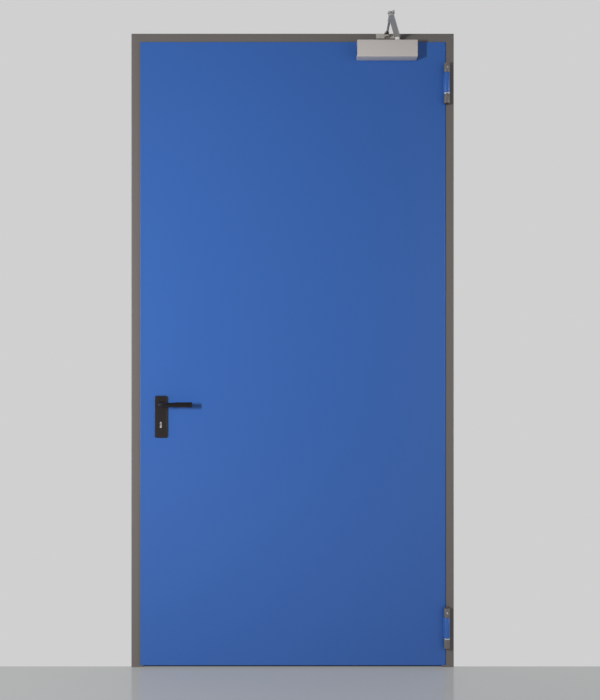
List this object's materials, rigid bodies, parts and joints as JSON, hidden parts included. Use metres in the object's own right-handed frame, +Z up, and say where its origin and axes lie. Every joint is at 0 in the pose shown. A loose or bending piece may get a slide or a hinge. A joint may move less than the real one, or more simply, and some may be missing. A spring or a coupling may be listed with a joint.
{
  "type": "single-leaf steel fire door with frame and door closer",
  "caption": "Rebated steel fire door leaf in a pressed steel frame, with lever handles, mortice lock, welded pin hinges and an overhead door closer.",
  "frame": {"origin": "on the hinge jamb's wall flange, where it meets the wall, at finished floor level and at the middle of the flange's width", "axes": "+X along the wall from the lock side to the hinge side, +Y into the wall, +Z up; the leaf opens towards -Y"},
  "size_m": [1.11, 0.3439, 2.18],
  "materials": {
    "frame_paint": "satin",
    "leaf_paint": "satin",
    "galvanised_steel": "satin",
    "seal_rubber": "matte",
    "dark_steel": "satin",
    "bright_steel": "gloss",
    "mineral_wool": "matte",
    "black_handle": "satin",
    "closer_paint": "satin"
  },
  "bodies": {
    "frame": {"hinge_jamb": "frame_paint", "lock_jamb": "frame_paint", "frame_head": "frame_paint", "hinge_jamb_anchors": "galvanised_steel", "lock_jamb_anchors": "galvanised_steel", "hinge_jamb_seal": "seal_rubber", "lock_jamb_seal": "seal_rubber", "head_seal": "seal_rubber", "strike_boxes": "galvanised_steel", "upper_hinge_frame_knuckles": "frame_paint", "lower_hinge_frame_knuckles": "frame_paint", "upper_hinge_pin": "dark_steel", "lower_hinge_pin": "dark_steel", "upper_hinge_washer": "bright_steel", "lower_hinge_washer": "bright_steel", "closer_shoe": "galvanised_steel", "shoe_pin": "dark_steel"},
    "leaf": {"leaf_front_sheet": "leaf_paint", "leaf_back_sheet": "leaf_paint", "leaf_core": "mineral_wool", "lock_case": "galvanised_steel", "lock_forend": "bright_steel", "latch_bolt": "bright_steel", "dead_bolt": "bright_steel", "front_plate": "black_handle", "back_plate": "black_handle", "front_key_insert": "bright_steel", "back_key_insert": "bright_steel", "upper_hinge_leaf_knuckle": "leaf_paint", "lower_hinge_leaf_knuckle": "leaf_paint", "closer_back_plate": "galvanised_steel", "closer_body": "closer_paint", "closer_left_cap": "galvanised_steel", "closer_right_cap": "galvanised_steel"},
    "lever_handle": {"front_lever": "black_handle", "back_lever": "black_handle", "lever_spindle": "dark_steel"},
    "closer_arm": {"closer_spindle": "bright_steel", "main_arm": "closer_paint", "arm_screw": "bright_steel"},
    "closer_forearm": {"forearm_rod": "dark_steel", "forearm_sleeve": "closer_paint", "elbow_joint": "closer_paint"}
  },
  "joints": [
    {"name": "door_swing", "type": "hinge", "parent": "frame", "child": "leaf", "pos_m": [-0.022, -0.029, 1], "axis": [0, 0, 1], "range_deg": [0, 110], "stiffness_Nm_per_rad": 10, "springref_deg": -17.19},
    {"name": "lever_turn", "type": "hinge", "parent": "leaf", "child": "lever_handle", "pos_m": [-1.001, 0.013, 0.905], "axis": [0, 1, 0], "range_deg": [0, 40], "stiffness_Nm_per_rad": 1.5, "springref_deg": -34.38},
    {"name": "closer_arm_turn", "type": "hinge", "parent": "leaf", "child": "closer_arm", "pos_m": [-0.193, -0.042, 2.15], "axis": [0, 0, -1], "range_deg": [0, 179]},
    {"name": "closer_forearm_turn", "type": "hinge", "parent": "frame", "child": "closer_forearm", "pos_m": [-0.228, -0.036, 2.169], "axis": [0, 0, 1], "range_deg": [0, 26.5]}
  ],
  "couplings": [
    {"joint": "closer_arm_turn", "follows": "door_swing", "ratio": 1.6268},
    {"joint": "closer_forearm_turn", "follows": "door_swing", "ratio": 0.2404}
  ]
}
